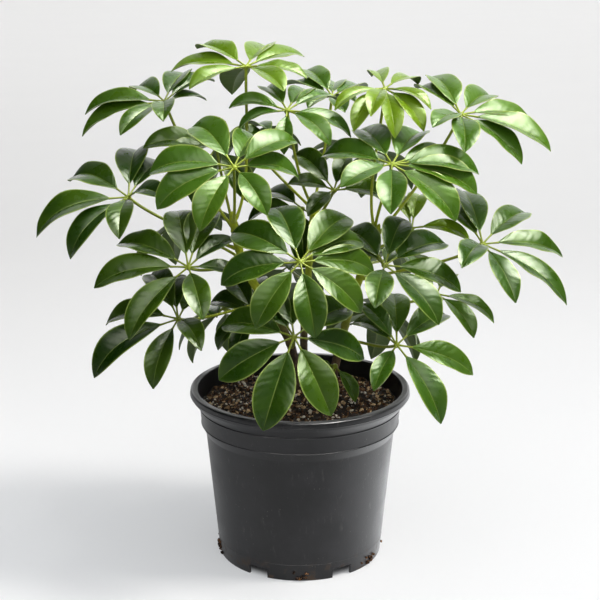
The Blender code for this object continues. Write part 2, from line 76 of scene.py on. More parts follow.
# Pot: a thin moulded shell with a rolled rim, a collar, a raised floor and six feet
FOOT_RADIUS = 0.0838
WALL_TOP = 0.1316
WALL_TOP_RADIUS = 0.0963
COLLAR_FOOT = 0.1400
COLLAR_RADIUS = 0.1006
COLLAR_TOP = 0.1588
COLLAR_TOP_RADIUS = 0.1024
RIM_FOOT = 0.1680
RIM_RADIUS = 0.1118
RIM_WIDTH = 0.0078
RIM_TOP = 0.1768
WALL_THICKNESS = 0.0022
FOOT_EXTRA = 0.0010
FLOOR_HEIGHT = 0.0100
FLOOR_THICKNESS = 0.0025
NOTCHES = 6
FIRST_NOTCH = -60  # degrees
NOTCH_DEPTH = 0.0240
NOTCH_WIDTH = 0.0210
NOTCH_HEIGHT = 0.0105
DRAIN_RADIUS = 0.0065
DRAIN_CIRCLE = 0.0520
CORNER = 0.0010
HARD_EDGE = 30  # degrees
FINE_POT_SIDES = 192
BEADS = ((0.0175, 0.00015), (0.1409, 0.0007), (0.1578, 0.0007), (0.1712, 0.0007))  # height, stand

# Soil
SOIL_EDGE = 0.1590
SOIL_CROWN = 0.0050
SOIL_LUMP = 0.0016
GAP = 0.0003
FINE_SOIL_RINGS = 80
FINE_SOIL_SIDES = 240
SOIL_CLEARANCE = 0.0004
BARE_MARGIN = 0.0020
CLOD = 0.0022
# Loose bits: how many, their material slot, the smallest and the largest radius, and how flat they are
CRUMBS = (2100, 1, 0.0006, 0.0022, 0.8)
BARK = (1050, 2, 0.0008, 0.0028, 0.4)
PERLITE = (460, 3, 0.0006, 0.0021, 0.85)
FOOT_CRUMBS = 90
FOOT_CRUMB_BEARINGS = (-91, -88, -33, -31, -5, 181, 184, 190, 196, 60, 130)

# Stems
STEM_BURIED = 0.050
FINE_STEM_SIDES = 16
FINE_STEM_STEPS = 110
SCAR_SPACING = 0.0135
SCAR_HEIGHT = 0.0005
SCAR_WIDTH = 0.09
BARK_ROUGHNESS = 0.00012
STEM_EDGE = 60  # degrees
BUD = ((0.003, 0.8), (0.006, 0.45), (0.0075, 0.12))  # height over the stem, share of its radius

# Leaves, as the frame's solids have them
PETIOLE_STEPS = 34
PETIOLE_RADIUS = 0.0016
HUB_RADIUS = 0.0034
STALK_SHARE = 0.16
STALK_RADIUS = 0.0010
ARCH = 0.13
ARCH_SCALE = 2.6  # brings the highest value of share * (1 - share * share) to 1
FOLD = 0.34
BLADE_WIDTH = 0.475
BASE_TAPER = 1.00
TIP_TAPER = 0.85
ROLL = 10  # degrees
DROOP = 20  # degrees
DROOP_WEIGHT = 0.5
DEPTH_REACH = 100  # mm

# Leaves, finer
BLADE_STEPS = 26
BLADE_COLUMNS = (0.34, 0.62, 0.86, 1.0)
MIDRIB_HALF = 0.0011
MIDRIB_GROOVE = 0.0002
MIDRIB_RIDGE = 0.0007
MIDDLE_THICKNESS = 0.0009
EDGE_THICKNESS = 0.0004
FOLD_STEEPNESS = 1.6
WAVE = 0.07
SWAY = 0.03
LOPSIDED = 0.05
# Shares of the frame's radii
STALK_SLIM = 0.88
PETIOLE_SLIM = 0.95
HUB_SLIM = 0.92
PETIOLE_SIDES = 10
SHEATH_REACH = 0.0012
# A petiole's sheath and its knee: how far from the stem, how long, and how much wider
SWELLINGS = ((0, 0.006, 0.9), (0.011, 0.003, 0.12))
HUB_LEVELS = ((-1.3, 0.50), (-0.75, 0.74), (-0.25, 1.0), (0.15, 0.96), (0.45, 0.62), (0.55, 0.15))
STALK_STEPS = 9
STALK_SIDES = 8
RIBS = 9.0
RIB_SLANT = 1.5
LEAF_EDGE = 55  # degrees
YOUNG = 0.6  # youth from which a leaf counts as young

# Front view: the eye's place, and the point on the pot's axis that it looks at
EYE = Vector((0, -1.288, 0.6216))
AIM = Vector((0, 0, 0.2668))

# Skies: a direction, where brightness starts and ends to rise towards it, the least, the most, and a tint.
# The first is the light from all round. Only shiny surfaces mirror the others: two lamps and a wall behind.
SKIES = (
    ((0.50, -0.50, 0.70), -0.6, 1.0, 0.06, 1.00, (0.97, 0.985, 1.0, 1)),
    ((0.36, -0.06, 0.92), 0.88, 0.99, 0.0, 34.0, (1.0, 0.98, 0.95, 1)),
    ((-0.16, -0.66, 0.73), 0.88, 0.99, 0.0, 5.0, (1.0, 0.98, 0.95, 1)),
    ((0.05, 0.90, 0.42), 0.70, 0.98, 0.0, 1.9, (1.0, 1.0, 1.0, 1)),
)


class Stem(NamedTuple):
    """A stem's points (x, y, z) from the soil up, and its radius at the soil and at the top, in mm."""

    route: tuple
    foot: float
    top: float


class FrontLeaf(NamedTuple):
    """A leaf set out by how it shows from the front. Places and lengths are in mm, angles in degrees."""

    stem: str
    height: float  # share of the way up the stem
    hub: tuple  # across, up, and how much nearer the eye than the pot's axis
    tilt: tuple  # of its face from straight up, towards the viewer and to the right
    length: float  # of a leaflet, from the hub to its tip
    youth: float  # 0 for an old dark leaf, 1 for one that has just opened
    tips: tuple  # across and up, and where it is set, how much nearer the eye than the hub
    arch: float = ARCH
    width: float = BLADE_WIDTH


class BackLeaf(NamedTuple):
    """A leaf set out by its place and the way it faces. Places and lengths are in mm, angles in degrees."""

    stem: str
    height: float  # share of the way up the stem
    hub: tuple  # x, y, z
    bearing: float  # the way it faces, round from +X
    tilt: float  # of its face from straight up
    count: int
    length: float
    arch: float = ARCH
    width: float = BLADE_WIDTH
    youth: float = 0.35


STEMS = {
    "stem_left": Stem(
        ((-5, 12, 159), (-8, 9, 212), (-28, 2, 254), (-51, -2, 294), (-62, -2, 325), (-66, 0, 350)),
        4.6, 3.7),
    "stem_right": Stem(
        ((30, 6, 159), (38, 8, 205), (52, 6, 262), (68, 2, 315), (76, 0, 338)), 4.6, 3.4),
    "stem_back": Stem(
        ((6, 36, 159), (4, 42, 215), (8, 46, 275), (12, 48, 330), (14, 48, 356)), 4.2, 3.0),
}

FRONT_LEAVES = {
    "leaf_upper_left": FrontLeaf(
        "stem_left", 0.93, (-136, 199, -16), (19, -8), 74, 0.25,
        ((-215, 186), (-218, 164), (-180, 165, 36), (-137, 179, 58), (-94, 200, -34), (-86, 219), (-113, 226),
         (-165, 210)), arch=0.11, width=0.442),
    "leaf_far_left": FrontLeaf(
        "stem_left", 0.78, (-172, 103, 24), (29, -8), 84, 0.15,
        ((-264, 63), (-230, 41), (-181, 61), (-135, 101, 46), (-130, 133), (-161, 149),
         (-230, 119)), arch=0.16),
    "leaf_mid_left": FrontLeaf(
        "stem_left", 0.97, (-66, 133, 104), (37, 0), 80, 0.55,
        ((-151, 126), (-143, 91), (-100, 69), (-33, 85), (-1, 120), (-3, 158, -36), (-44, 162), (-108, 173)),
        width=0.503),
    "leaf_top_left": FrontLeaf(
        "stem_left", 1.0, (-54, 234, 24), (18, 0), 74, 0.70,
        ((-129, 229), (-111, 211, 22), (-68, 206), (-16, 209, 44), (7, 222, 10), (4, 244), (-32, 253),
         (-103, 252)), arch=0.09),
    "leaf_top_centre": FrontLeaf(
        "stem_back", 0.98, (-13, 190, 44), (22, 0), 66, 0.50,
        ((-71, 192, -8), (-61, 171, 4), (-16, 146, 16), (30, 155), (51, 163), (37, 200), (10, 207),
         (-36, 210)), width=0.445),
    "leaf_top_behind": FrontLeaf(
        "stem_back", 1.0, (32, 204, -46), (10, 0), 64, 0.45,
        ((-15, 215), (6, 230), (36, 216), (66, 211), (56, 198, 30), (45, 188, 44), (8, 192, 36)), arch=0.09),
    "leaf_top_right": FrontLeaf(
        "stem_right", 1.0, (85, 212, 30), (15, 0), 66, 0.76,
        ((35, 190, 22), (54, 169), (71, 184), (95, 162), (124, 169), (131, 191, 26), (118, 216),
         (72, 224)), width=0.382),
    "leaf_upper_right": FrontLeaf(
        "stem_right", 0.93, (161, 186, 24), (19, 6), 78, 0.55,
        ((129, 223), (117, 212), (133, 173, 54), (165, 148), (222, 136), (251, 149), (232, 178), (192, 202)),
        arch=0.10),
    "leaf_mid_right": FrontLeaf(
        "stem_right", 0.97, (92, 136, 78), (28, 0), 80, 0.50,
        ((22, 143), (41, 113, 30), (91, 86), (156, 79), (177, 106), (159, 139), (179, 126, -24),
         (123, 166), (59, 170)), arch=0.10, width=0.503),
    "leaf_centre_behind": FrontLeaf(
        "stem_back", 0.80, (34, 110, 10), (40, 0), 66, 0.10,
        ((-7, 145, -32), (-12, 116, 6), (8, 84, 26), (48, 144, -24), (86, 98, -36)), width=0.503),
    "leaf_far_right": FrontLeaf(
        "stem_right", 0.62, (183, 56, 24), (22, 8), 84, 0.25,
        ((162, 109), (226, 87), (263, 43), (267, -5), (216, -3), (162, 32, 70), (143, 94)),
        arch=0.11, width=0.408),
    "leaf_low_mid_right": FrontLeaf(
        "stem_right", 0.84, (85, 35, 74), (26, 4), 78, 0.20,
        ((104, 81, -44), (146, 56), (161, 8), (139, -25), (75, -8), (45, 50), (45, 68)),
        arch=0.10, width=0.503),
    "leaf_front": FrontLeaf(
        "stem_back", 0.62, (0, 38, 118), (44, 0), 82, 0.24,
        ((-79, 15), (-68, 67), (-25, 92), (48, 83), (63, 57), (74, 27), (61, -13), (15, -38), (-44, -28)),
        arch=0.11, width=0.503),
    "leaf_low_mid_left": FrontLeaf(
        "stem_left", 0.66, (-112, 33, 80), (26, -4), 80, 0.10,
        ((-206, 12), (-183, 55), (-123, 89), (-86, 88), (-63, 59, -38), (-56, 22, 0), (-97, -20),
         (-171, -40)), arch=0.11, width=0.442),
    "leaf_low_left": FrontLeaf(
        "stem_left", 0.46, (-122, -19, 44), (32, -6), 80, 0.05,
        ((-194, -25), (-206, -78), (-147, -89), (-99, -51, 54), (-150, 25), (-128, 20), (-98, 2)),
        arch=0.15, width=0.408),
    "leaf_front_low": FrontLeaf(
        "stem_left", 0.22, (-6, -37, 112), (44, 0), 84, 0.18,
        ((-78, -27), (-81, -80), (-37, -131), (31, -116), (64, -59), (50, -8), (-15, 15), (-40, 4)),
        arch=0.09, width=0.503),
    "leaf_low_right": FrontLeaf(
        "stem_right", 0.34, (97, -45, 66), (34, 6), 82, 0.32,
        ((93, 6), (51, -25), (62, -4, -34), (146, -15), (173, -75), (141, -124), (74, -91)),
        arch=0.11, width=0.408),
    "leaf_right_behind": FrontLeaf(
        "stem_right", 0.48, (137, 6, -12), (18, 6), 66, 0.58,
        ((194, -23), (174, -38), (128, -15, 48), (112, 28, -18), (150, 22)), width=0.408),
    "leaf_young_right": FrontLeaf(
        "stem_right", 0.76, (112, 72, -14), (26, 0), 60, 0.80,
        ((170, 59, 4), (121, 104), (98, 100), (84, 60, 58), (98, 44)), arch=0.17, width=0.403),
    "leaf_left_behind": FrontLeaf(
        "stem_left", 0.88, (-84, 153, -8), (36, 0), 70, 0.20,
        ((-157, 152, 8), (-133, 143, 22), (-108, 98), (-52, 98), (-34, 163, -28), (-75, 179, -6))),
    "leaf_by_soil": FrontLeaf(
        "stem_right", 0.10, (35, -66, 6), (30, 10), 34, 0.20,
        ((55, -102), (22, -96), (14, -72))),
    "leaf_low_inner": FrontLeaf(
        "stem_left", 0.34, (-46, -14, 2), (36, -10), 60, 0.05,
        ((-82, -50), (-66, -60), (-90, -4), (-70, 20), (-40, 22))),
    "leaf_inner": FrontLeaf(
        "stem_back", 0.60, (2, 92, -76), (28, -4), 66, 0.05,
        ((-36, 104), (-52, 78), (-30, 44), (4, 32), (38, 52))),
}

BACK_LEAVES = {
    "leaf_back_left": BackLeaf("stem_left", 0.70, (-128, 92, 330), 145, 32, 7, 78),
    "leaf_back_right": BackLeaf("stem_right", 0.66, (104, 106, 292), 50, 20, 8, 64),
    "leaf_back_centre": BackLeaf("stem_back", 0.48, (-12, 122, 272), 95, 40, 7, 76),
    "leaf_back_top_left": BackLeaf("stem_back", 0.92, (-58, 116, 417), 120, 26, 7, 74),
    "leaf_back_top_right": BackLeaf("stem_back", 0.86, (68, 115, 398), 60, 26, 7, 74),
    "leaf_back_low_left": BackLeaf("stem_back", 0.36, (-82, 94, 232), 130, 42, 7, 76),
    "leaf_back_low_right": BackLeaf("stem_back", 0.44, (84, 96, 228), 50, 42, 7, 76),
}


def placed(name, data):
    """A new object of the scene."""
    made = bpy.data.objects.new(name, data)
    bpy.context.scene.collection.objects.link(made)
    return made


class Shape:
    """Points, faces, material slots and two pairs of surface values, gathered for one mesh.

    The first pair is a point's place on its blade or stalk, across and along. The second is its
    leaflet's own random number and its leaf's youth."""

    def __init__(self):
        self.points = []
        self.faces = []
        self.slots = []
        self.places = []
        self.tones = []

    def add(self, points, faces, slots, places, tone):
        """Takes in points and their places, faces numbered from the first of them, and each face's slot."""
        start = len(self.points)
        self.points += points
        self.places += places
        self.tones += [tone] * len(points)
        self.faces += [tuple(start + corner for corner in face) for face in faces]
        self.slots += slots

    def add_plain(self, points, faces, slot, chance):
        """Takes in a part that is all of one slot and needs no places."""
        self.add(points, faces, [slot] * len(faces), [(0, 0)] * len(points), (chance, 0))

    def build(self, name, looks, sharp, slot, *nodes):
        """Makes the mesh object, which rides on the root body in place of the nodes."""
        mesh = bpy.data.meshes.new(name)
        inside = np.clip(np.array(self.points, float), *CAD_BOX)
        mesh.from_pydata(inside.tolist(), [], self.faces)
        for look in looks:
            mesh.materials.append(look)
        mesh.polygons.foreach_set("material_index", self.slots)
        corners = np.empty(len(mesh.loops), int)
        mesh.loops.foreach_get("vertex_index", corners)
        for title, values in (("place", self.places), ("tone", self.tones)):
            layer = mesh.uv_layers.new(name=title)
            layer.uv.foreach_set("vector", np.array(values, float)[corners].ravel())
        mesh.shade_smooth()
        mesh.set_sharp_from_angle(angle=radians(sharp))
        made = placed(name, mesh)
        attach(made, "root")
        if nodes:
            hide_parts(*nodes)
        return made


class Tree:
    """A tree of shader nodes being made: adds nodes and joins them to what they read."""

    def __init__(self, owner):
        owner.use_nodes = True
        self.nodes = owner.node_tree.nodes
        self.links = owner.node_tree.links

    def node(self, kind, inputs, **settings):
        """A shader node with its settings, and with each input set to a value or joined to a socket."""
        made = self.nodes.new(kind)
        for name, value in settings.items():
            setattr(made, name, value)
        for key, value in inputs.items():
            self.join(made.inputs[key], value)
        return made

    def join(self, socket, value):
        """Feeds a socket from another socket or from a plain value."""
        if isinstance(value, bpy.types.NodeSocket):
            self.links.new(value, socket)
        else:
            socket.default_value = value

    def math(self, operation, first, second=0.0, third=0.0):
        """One sum of up to three numbers."""
        return self.node("ShaderNodeMath", {0: first, 1: second, 2: third}, operation=operation).outputs[0]

    def times(self, first, second):
        """The product of two numbers."""
        return self.math("MULTIPLY", first, second)

    def mix(self, share, first, second):
        """A colour between two, by a share."""
        return self.node("ShaderNodeMix", {0: share, 6: first, 7: second}, data_type="RGBA").outputs[2]

    def step(self, value, low, high, start=0.0, end=1.0):
        """A smooth step from start to end as a value goes from low to high."""
        inputs = {0: value, 1: low, 2: high, 3: start, 4: end}
        return self.node("ShaderNodeMapRange", inputs, interpolation_type="SMOOTHSTEP").outputs[0]


class Look(Tree):
    """A material being made. Its surface coordinates are fixed to the object, in metres."""

    def __init__(self, name):
        self.material = bpy.data.materials.new(name)
        super().__init__(self.material)
        self.shader = self.nodes["Principled BSDF"]
        self.surface = self.node("ShaderNodeTexCoord", {}).outputs["Object"]

    def pair(self, title):
        """The two numbers of one of the mesh's pairs of surface values."""
        values = self.node("ShaderNodeUVMap", {}, uv_map=title).outputs[0]
        return self.node("ShaderNodeSeparateXYZ", {0: values}).outputs[:2]

    def noise(self, scale, detail=3.0, roughness=0.55, vector=None):
        """Soft noise between 0 and 1 at a scale per metre."""
        inputs = {"Vector": vector or self.surface, "Scale": scale, "Detail": detail, "Roughness": roughness}
        return self.node("ShaderNodeTexNoise", inputs).outputs[0]

    def coat(self, colour, roughness):
        """Gives the shader its colour and its roughness."""
        self.join(self.shader.inputs["Base Color"], colour)
        self.join(self.shader.inputs["Roughness"], roughness)

    def bump(self, height, distance, strength):
        """Joins a bump of a height to the shader."""
        inputs = {"Height": height, "Distance": distance, "Strength": strength}
        self.join(self.shader.inputs["Normal"], self.node("ShaderNodeBump", inputs).outputs[0])

    def glow(self, colour, share):
        """Lets a share of the light through the surface in a colour."""
        through = self.node("ShaderNodeBsdfTranslucent", {"Color": colour})
        mixed = self.node("ShaderNodeMixShader", {0: share, 1: self.shader.outputs[0], 2: through.outputs[0]})
        self.join(self.nodes["Material Output"].inputs["Surface"], mixed.outputs[0])


def rgb(red, green, blue):
    """A linear colour with full alpha."""
    return (red, green, blue, 1)


def blade_spot(look):
    """How far out from the midrib a spot of a blade lies, and its place among the side ribs."""
    across, along = look.pair("place")
    out = look.math("ABSOLUTE", look.math("MULTIPLY_ADD", across, 2.0, -1.0))
    return out, look.math("SUBTRACT", look.times(along, RIBS), look.times(out, RIB_SLANT))


def blade_top():
    """Glossy upper face of a leaflet: green by the leaf's age, a pale midrib and margin, faint veins, and a
    painted glow of light through the blade, lighter green towards its edges.
    """
    look = Look("leaf_top")
    out, ribs = blade_spot(look)
    chance, youth = look.pair("tone")
    patches = look.noise(38.0)
    green = look.mix(look.step(youth, 0.0, 0.55), rgb(0.005, 0.026, 0.0003), rgb(0.062, 0.162, 0.012))
    green = look.mix(look.step(youth, 0.5, 1.0), green, rgb(0.32, 0.5, 0.006))
    lighter = look.mix(0.25, green, rgb(0.19, 0.35, 0.01))
    shade = look.math("ADD", look.times(patches, 0.7), look.times(chance, 0.35))
    green = look.mix(look.step(shade, 0.3, 0.85), green, lighter)
    ribs = look.math("MULTIPLY_ADD", look.noise(55.0), 1.6, ribs)
    ripple = look.math("PINGPONG", ribs, 0.5)
    veins = look.step(ripple, 0.0, 0.07, 1.0, 0.0)
    pale = look.mix(youth, rgb(0.29, 0.4, 0.085), rgb(0.5, 0.6, 0.12))
    green = look.mix(look.times(veins, 0.06), green, pale)
    rib = look.step(out, 0.01, 0.045, 1.0, 0.0)
    green = look.mix(look.times(rib, 0.55), green, pale)
    # Painted glow: lighter green towards the blade's edges, standing in for light shining through it.
    green = look.mix(look.step(out, 0.7, 0.98, 0.0, 0.5), green, lighter)
    margin = look.step(out, 0.905, 0.965)
    green = look.mix(look.times(margin, 0.9), green, pale)
    look.coat(green, look.step(look.noise(75.0), 0.3, 0.7, 0.24, 0.37))
    quilt = look.times(look.step(ripple, 0.0, 0.5), 0.2)
    broad = look.math("MULTIPLY_ADD", look.noise(42.0, 1.0), 1.8, quilt)
    height = look.math("MULTIPLY_ADD", look.noise(420.0), 0.04, broad)
    look.bump(height, 0.0012, 0.4)
    look.shader.inputs["Specular Tint"].default_value = rgb(0.95, 1.0, 0.84)
    look.glow(rgb(0.34, 0.52, 0.01), 0.2)
    return look.material


def blade_under():
    """Matt, greyer underside of a leaflet with raised veins."""
    look = Look("leaf_under")
    out, ribs = blade_spot(look)
    chance, youth = look.pair("tone")
    green = look.mix(youth, rgb(0.08, 0.135, 0.045), rgb(0.19, 0.27, 0.06))
    green = look.mix(look.times(look.noise(60.0), 0.5), green, rgb(0.13, 0.185, 0.075))
    veins = look.step(look.math("PINGPONG", ribs, 0.5), 0.0, 0.08, 1.0, 0.0)
    pale = rgb(0.26, 0.32, 0.12)
    green = look.mix(look.times(veins, 0.25), green, pale)
    rib = look.step(out, 0.03, 0.09, 1.0, 0.0)
    green = look.mix(look.times(rib, 0.8), green, pale)
    look.coat(green, look.step(chance, 0.0, 1.0, 0.5, 0.62))
    look.bump(look.math("ADD", veins, look.noise(500.0)), 0.0004, 0.4)
    look.glow(rgb(0.25, 0.42, 0.05), 0.12)
    return look.material


def stalk_green():
    """Petioles, leaflet stalks and hubs: yellow green where they leave the stem and darker olive at the hub;
    partly their own colour and partly painted light, lifted where the stalks stand in shade and darkened at
    the hub where direct light falls.
    """
    look = Look("stalk")
    _, along = look.pair("place")
    chance, youth = look.pair("tone")
    # Painted light: lighter where the stalks leave the stem, in shade, and darker at the hub, in direct
    # light.
    far = look.step(along, 0.0, 0.9)
    old = look.mix(far, rgb(0.44, 0.52, 0.012), rgb(0.21, 0.27, 0.012))
    young = look.mix(far, rgb(0.5, 0.6, 0.014), rgb(0.3, 0.39, 0.018))
    green = look.mix(look.step(youth, 0.0, 0.8), old, young)
    streaks = look.noise(700.0)
    green = look.mix(look.times(look.step(streaks, 0.45, 0.75), 0.35), green, rgb(0.1, 0.075, 0.03))
    look.coat(green, look.step(chance, 0.0, 1.0, 0.38, 0.52))
    look.bump(streaks, 0.0003, 0.4)
    return look.material


def stem_bark():
    """Stem: brown and corky low down, olive green towards the tip, with pale pores."""
    look = Look("stem_bark")
    _, along = look.pair("place")
    patches = look.noise(130.0, 5.0)
    mottle = look.step(patches, 0.35, 0.7)
    brown = look.mix(mottle, rgb(0.045, 0.024, 0.013), rgb(0.15, 0.095, 0.05))
    olive = look.mix(mottle, rgb(0.36, 0.44, 0.01), rgb(0.62, 0.7, 0.03))
    bark = look.mix(look.step(along, 0.2, 0.62), brown, olive)
    pores = look.node("ShaderNodeTexVoronoi", {"Vector": look.surface, "Scale": 520.0}).outputs["Distance"]
    bark = look.mix(look.step(pores, 0.1, 0.2, 0.5, 0.0), bark, rgb(0.32, 0.27, 0.14))
    look.coat(bark, look.step(patches, 0.3, 0.7, 0.6, 0.8))
    look.bump(look.noise(420.0, 5.0), 0.0007, 0.7)
    return look.material


def pot_plastic():
    """Black plastic, softly shining, scuffed and dusty, with earth dried on near its feet."""
    look = Look("pot_plastic")
    height = look.node("ShaderNodeSeparateXYZ", {0: look.surface}).outputs["Z"]
    clouds = look.noise(26.0, 5.0)
    black = look.mix(look.step(clouds, 0.35, 0.75), rgb(0.0035, 0.0038, 0.0056), rgb(0.016, 0.016, 0.019))
    stretched = look.node("ShaderNodeMapping", {"Vector": look.surface, "Scale": (1, 1, 0.25)}).outputs[0]
    scuffs = look.step(look.noise(210.0, 6.0, 0.7, stretched), 0.57, 0.74, 0.0, 0.55)
    black = look.mix(scuffs, black, rgb(0.075, 0.073, 0.07))
    dust = look.node("ShaderNodeTexVoronoi", {"Vector": look.surface, "Scale": 190.0}).outputs["Distance"]
    some = look.step(look.noise(45.0), 0.48, 0.6)
    specks = look.times(look.step(dust, 0.05, 0.11, 0.55, 0.0), some)
    black = look.mix(specks, black, rgb(0.22, 0.2, 0.18))
    # Paler grey in clouds towards the bottom of the pot.
    paler_low = look.times(look.step(height, 0.0, 0.13, 0.16, 0.0), clouds)
    black = look.mix(paler_low, black, rgb(0.1, 0.1, 0.105))
    low = look.step(height, 0.004, 0.024, 1.0, 0.0)
    dirt = look.times(low, look.step(look.noise(90.0, 5.0), 0.5, 0.66))
    black = look.mix(dirt, black, rgb(0.075, 0.048, 0.03))
    look.coat(black, look.math("ADD", look.step(clouds, 0.3, 0.7, 0.28, 0.4), look.times(dirt, 0.35)))
    look.bump(look.noise(900.0, 3.0), 0.00025, 0.35)
    look.shader.inputs["Specular IOR Level"].default_value = 0.8
    return look.material


def earth(name, dark, light, scale, rough):
    """An earthy, crumbly surface between two colours."""
    look = Look(name)
    chance, _ = look.pair("tone")
    grain = look.noise(scale, 5.0, 0.65)
    mixed = look.math("ADD", look.times(grain, 0.75), look.times(chance, 0.35))
    colour = look.mix(look.step(mixed, 0.35, 0.85), dark, light)
    look.coat(colour, look.step(grain, 0.3, 0.7, rough - 0.08, rough))
    look.bump(look.noise(scale * 2.2, 4.0), 0.0006, 0.8)
    return look.material


def through(route, share):
    """Point at a share of the way along a smooth curve through a route's points."""
    spans = len(route) - 1
    place = min(max(share, 0), 1) * spans
    first = min(int(place), spans - 1)
    t = place - first
    before, start, end, after = (route[min(max(first + number, 0), spans)] for number in (-1, 0, 1, 2))
    cubic = 3 * start - before - 3 * end + after
    square = 2 * before - 5 * start + 4 * end - after
    return start + 0.5 * t * ((end - before) + t * (square + t * cubic))


def heading(route, share):
    """The way a smooth curve runs at a share of its length."""
    return (through(route, share + 0.02) - through(route, share - 0.02)).normalized()


def ring_at(centre, along, radius, sides, reference=Vector((0.31, -0.95, 0.05))):
    """A ring of points square to a direction."""
    across = along.cross(reference).normalized()
    over = across.cross(along).normalized()
    angles = [2 * pi * side / sides for side in range(sides)]
    return [centre + (across * cos(angle) + over * sin(angle)) * radius for angle in angles]


def bands(rings, size):
    """Faces between neighbouring rings, for points that are numbered ring after ring."""
    faces = []
    for low in range(0, (rings - 1) * size, size):
        for side in range(size):
            following = (side + 1) % size
            faces.append((low + side, low + following, low + size + following, low + size + side))
    return faces


def add_tube(shape, rings, slot, tone, shares=None):
    """Adds a closed tube through rings of points. A share gives each ring's place along it."""
    sides = len(rings[0])
    points = [point for ring in rings for point in ring]
    shares = shares or [number / (len(rings) - 1) for number in range(len(rings))]
    places = [(side / sides, share) for share in shares for side in range(sides)]
    faces = [(a, d, c, b) for a, b, c, d in bands(len(rings), sides)]
    faces.append(tuple(range(sides)))
    last = (len(rings) - 1) * sides
    faces.append(tuple(last + side for side in reversed(range(sides))))
    shape.add(points, faces, [slot] * len(faces), places, tone)


def stem_route(name):
    """A stem's points in metres."""
    return [Vector(point) * MM for point in STEMS[name].route]


def stem_radius(name, share):
    """A stem's radius at a share of its height."""
    stem = STEMS[name]
    return (stem.foot + (stem.top - stem.foot) * share) * MM


def view_point(across, up, toward):
    """The point that shows at across and up (mm) from the aim in the front view, and stands toward mm
    nearer the eye than the aim."""
    line = AIM - EYE
    right = Vector((1, 0, 0))
    above = right.cross(line / line.length)
    plane_point = AIM + (right * across + above * up) * MM
    return EYE + (plane_point - EYE) * (1 - toward * MM / line.length)


def leaflet_tip(hub, leaf, axis, shown):
    """The tip's place behind its spot in the front view. Where the leaf doesn't set its depth, the leaflet is
    nearest its length there and hangs most nearly DROOP degrees below the leaf's own plane."""
    near = leaf.hub[2]
    if len(shown) == 3:
        return view_point(shown[0], shown[1], near + shown[2])

    def misfit(tip):
        reach = tip - hub
        stretch = reach.length / (leaf.length * MM) - 1
        sag = reach.normalized().dot(axis) + sin(radians(DROOP))
        return stretch * stretch + DROOP_WEIGHT * sag * sag

    places = [view_point(*shown, near + step) for step in range(-DEPTH_REACH, DEPTH_REACH + 1, 2)]
    return min(places, key=misfit)


def front_whorl(leaf):
    """Hub, axis and leaflet tips of a front leaf."""
    hub = view_point(*leaf.hub)
    forward, right = (radians(angle) for angle in leaf.tilt)
    axis = Vector((sin(right), -sin(forward), cos(forward) * cos(right))).normalized()
    return hub, axis, [leaflet_tip(hub, leaf, axis, shown) for shown in leaf.tips]


def back_whorl(name, leaf):
    """Hub, axis and leaflet tips of a back leaf: a whorl round its axis, shorter towards the stem."""
    draw = random.Random(name)
    hub = Vector(leaf.hub) * MM
    bearing = radians(leaf.bearing)
    tilt = radians(leaf.tilt)
    outward = Vector((cos(bearing), sin(bearing), 0))
    axis = UP * cos(tilt) + outward * sin(tilt)
    ahead = (outward - axis * outward.dot(axis)).normalized()
    beside = axis.cross(ahead)
    tips = []
    for number in range(leaf.count):
        turn = radians(360 * (number + 0.5) / leaf.count + draw.uniform(-5, 5))
        droop = radians(DROOP + draw.uniform(-6, 12))
        flat = ahead * cos(turn) + beside * sin(turn)
        reach = leaf.length * MM * (0.88 + 0.12 * cos(turn)) * draw.uniform(0.94, 1.04)
        tips.append(hub + (flat * cos(droop) - axis * sin(droop)) * reach)
    return hub, axis, tips


def blade_half_width(share):
    """Half width of a blade as a share of its largest, at a share of its length from its base."""
    widest = BASE_TAPER / (BASE_TAPER + TIP_TAPER)
    return (share / widest) ** BASE_TAPER * ((1 - share) / (1 - widest)) ** TIP_TAPER


def petiole_points(stem, height, hub, axis):
    """Start on the stem, the way out of it, and the points along the petiole up to the hub."""
    route = stem_route(stem)
    centre = through(route, height)
    along = heading(route, height)
    outward = hub - centre
    outward = (outward - along * outward.dot(along)).normalized()
    start = centre + outward * (stem_radius(stem, height) + GAP)
    span = (hub - start).length
    direct = (hub - start) / span
    leaving = start + (outward * 0.35 + UP * 0.15 + direct * 0.5) * span * 0.35
    arriving = hub - (axis * 0.4 + direct * 0.6) * span * 0.30
    points = []
    for step in range(PETIOLE_STEPS + 1):
        t = step / PETIOLE_STEPS
        s = 1 - t
        points.append(start * s**3 + leaving * 3 * s * s * t + arriving * 3 * s * t * t + hub * t**3)
    return outward, points


